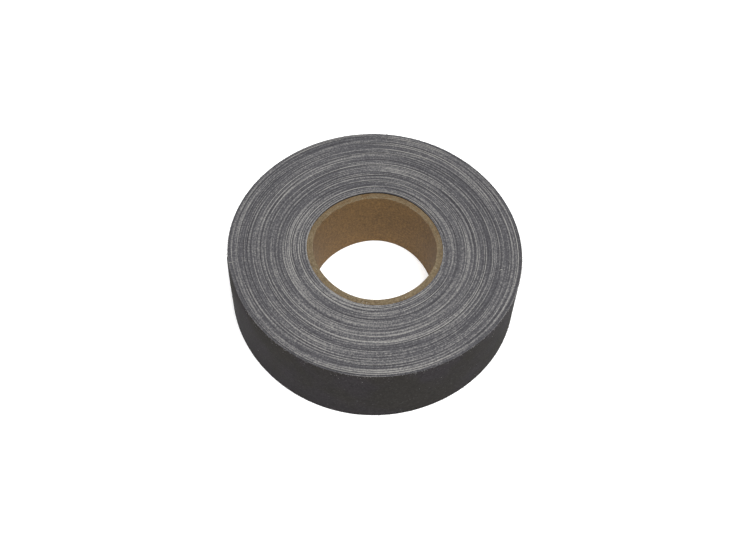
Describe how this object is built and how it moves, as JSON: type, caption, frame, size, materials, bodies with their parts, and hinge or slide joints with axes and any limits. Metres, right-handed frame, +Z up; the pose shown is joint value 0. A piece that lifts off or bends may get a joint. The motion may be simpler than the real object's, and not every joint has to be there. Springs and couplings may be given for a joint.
{
  "type": "cloth grip tape roll",
  "caption": "Roll of dark cloth grip tape wound on a spiral-wound paper core, with an open round bore and a free end that peels away from the outside.",
  "frame": {"origin": "on the roll's axis, at its lower flat face", "axes": "+Z up along the roll's axis; the tape's cut end is just round from -X towards -Y, and the tape runs anticlockwise from it into the roll, seen from above"},
  "size_m": [0.0902, 0.0903, 0.024],
  "materials": {
    "kraft": "smooth brown kraft paper",
    "board": "cut edge of grey-brown recycled board",
    "tape_edge": "slit edges of many cloth laps, streaked light and dark grey",
    "cloth": "matt charcoal coated cotton cloth",
    "adhesive": "tacky grey rubber adhesive"
  },
  "bodies": {
    "roll": {"core_liner_ply": "kraft", "core_board_ply_1": "board", "core_board_ply_2": "board", "core_board_ply_3": "board", "core_cover_ply": "kraft", "tape_wound_laps": "tape_edge", "tape_outer_lap_cloth": "cloth", "tape_outer_lap_adhesive": "adhesive"},
    "free_end": {"tape_free_end_cloth": "cloth", "tape_free_end_adhesive": "adhesive"}
  },
  "joints": [
    {"name": "free_end_peel", "type": "hinge", "parent": "roll", "child": "free_end", "pos_m": [-0.03828, -0.0242, 0.012], "axis": [0, 0, 1], "range_deg": [0, 150]}
  ]
}
